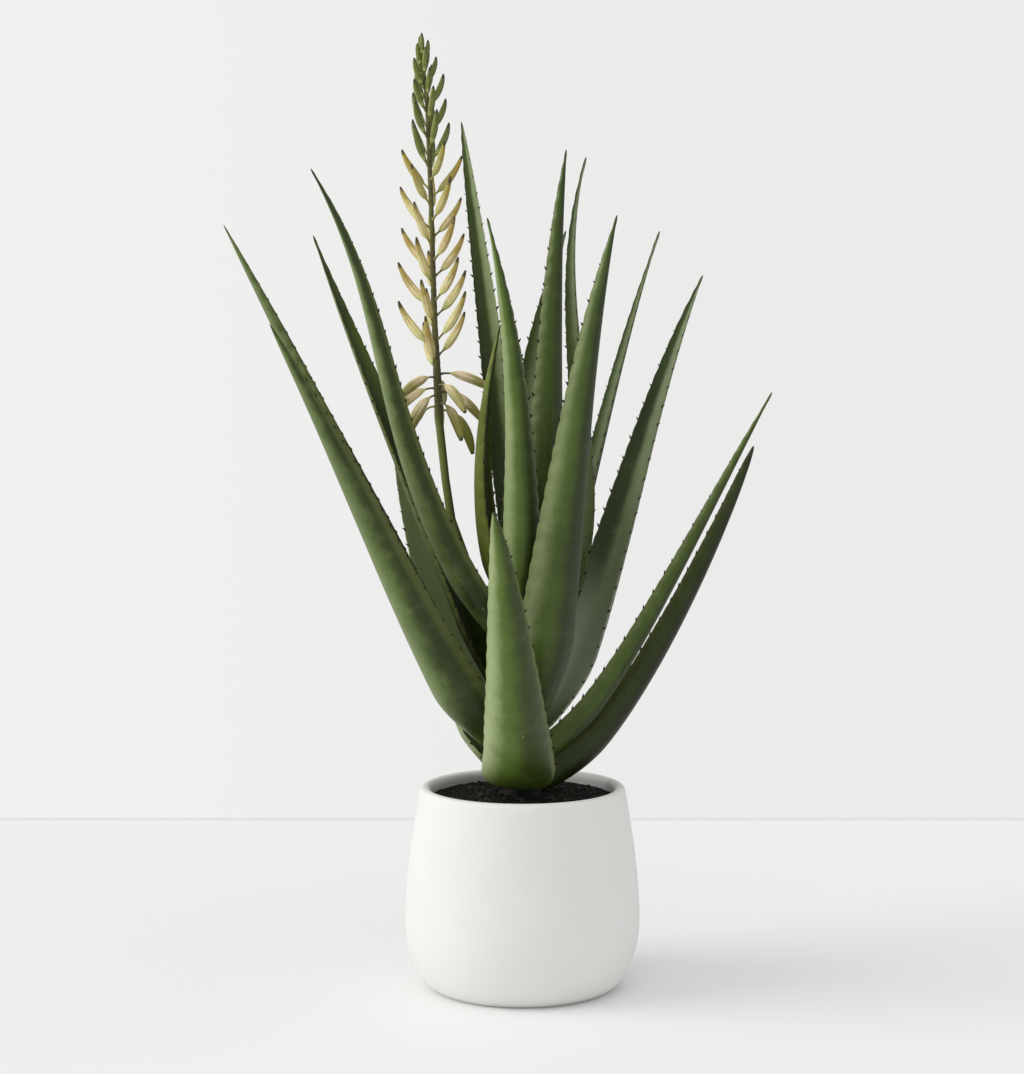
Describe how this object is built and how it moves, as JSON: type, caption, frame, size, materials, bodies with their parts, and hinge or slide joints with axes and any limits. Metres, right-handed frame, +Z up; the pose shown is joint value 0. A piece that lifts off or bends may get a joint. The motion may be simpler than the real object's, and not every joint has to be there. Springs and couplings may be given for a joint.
{
  "type": "potted aloe",
  "caption": "Flowering aloe with long channelled leaves and a tall stalk of tubular flowers, in a plain round ceramic pot.",
  "frame": {"origin": "middle of the pot's flat base", "axes": "+Z up along the pot's axis, +X towards the side of the two low spreading leaves, -Y towards the front leaf"},
  "size_m": [0.4757, 0.2898, 0.8142],
  "materials": {
    "white_ceramic": "matte",
    "potting_soil": "loose damp potting soil",
    "crown_green": "living plant stem",
    "leaf_green": "waxy living leaf",
    "stalk_green": "satin living stalk",
    "drooping_flower": "satin petals",
    "cream_flower": "satin petals",
    "green_bud": "satin bud"
  },
  "bodies": {
    "root": {"pot": "white_ceramic", "soil": "potting_soil", "crown_stem": "crown_green", "flower_stalk": "stalk_green", "leaf_front": "leaf_green", "leaf_low_right": "leaf_green", "leaf_short_left": "leaf_green", "leaf_left": "leaf_green", "leaf_far_left": "leaf_green", "leaf_far_right": "leaf_green", "leaf_front_right": "leaf_green", "leaf_right": "leaf_green", "leaf_dark_left": "leaf_green", "leaf_thin_right": "leaf_green", "leaf_upper_left": "leaf_green", "leaf_thin_back": "leaf_green", "leaf_centre_left": "leaf_green", "leaf_back_tall": "leaf_green", "leaf_behind_centre": "leaf_green", "leaf_inner_left": "leaf_green", "leaf_tall_centre": "leaf_green", "flower_drooping_01": "drooping_flower", "flower_drooping_02": "drooping_flower", "flower_drooping_03": "drooping_flower", "flower_drooping_04": "drooping_flower", "flower_drooping_05": "drooping_flower", "flower_drooping_06": "drooping_flower", "flower_drooping_07": "drooping_flower", "flower_drooping_08": "drooping_flower", "flower_drooping_09": "drooping_flower", "flower_drooping_10": "drooping_flower", "flower_drooping_11": "drooping_flower", "flower_cream_01": "cream_flower", "flower_cream_02": "cream_flower", "flower_cream_03": "cream_flower", "flower_cream_04": "cream_flower", "flower_cream_05": "cream_flower", "flower_cream_06": "cream_flower", "flower_cream_07": "cream_flower", "flower_cream_08": "cream_flower", "flower_cream_09": "cream_flower", "flower_cream_10": "cream_flower", "flower_cream_11": "cream_flower", "flower_cream_12": "cream_flower", "flower_cream_13": "cream_flower", "flower_cream_14": "cream_flower", "flower_cream_15": "cream_flower", "flower_cream_16": "cream_flower", "flower_cream_17": "cream_flower", "flower_cream_18": "cream_flower", "flower_cream_19": "cream_flower", "flower_cream_20": "cream_flower", "flower_cream_21": "cream_flower", "flower_cream_22": "cream_flower", "flower_cream_23": "cream_flower", "flower_cream_24": "cream_flower", "flower_cream_25": "cream_flower", "bud_green_01": "green_bud", "bud_green_02": "green_bud", "bud_green_03": "green_bud"}
  },
  "joints": []
}
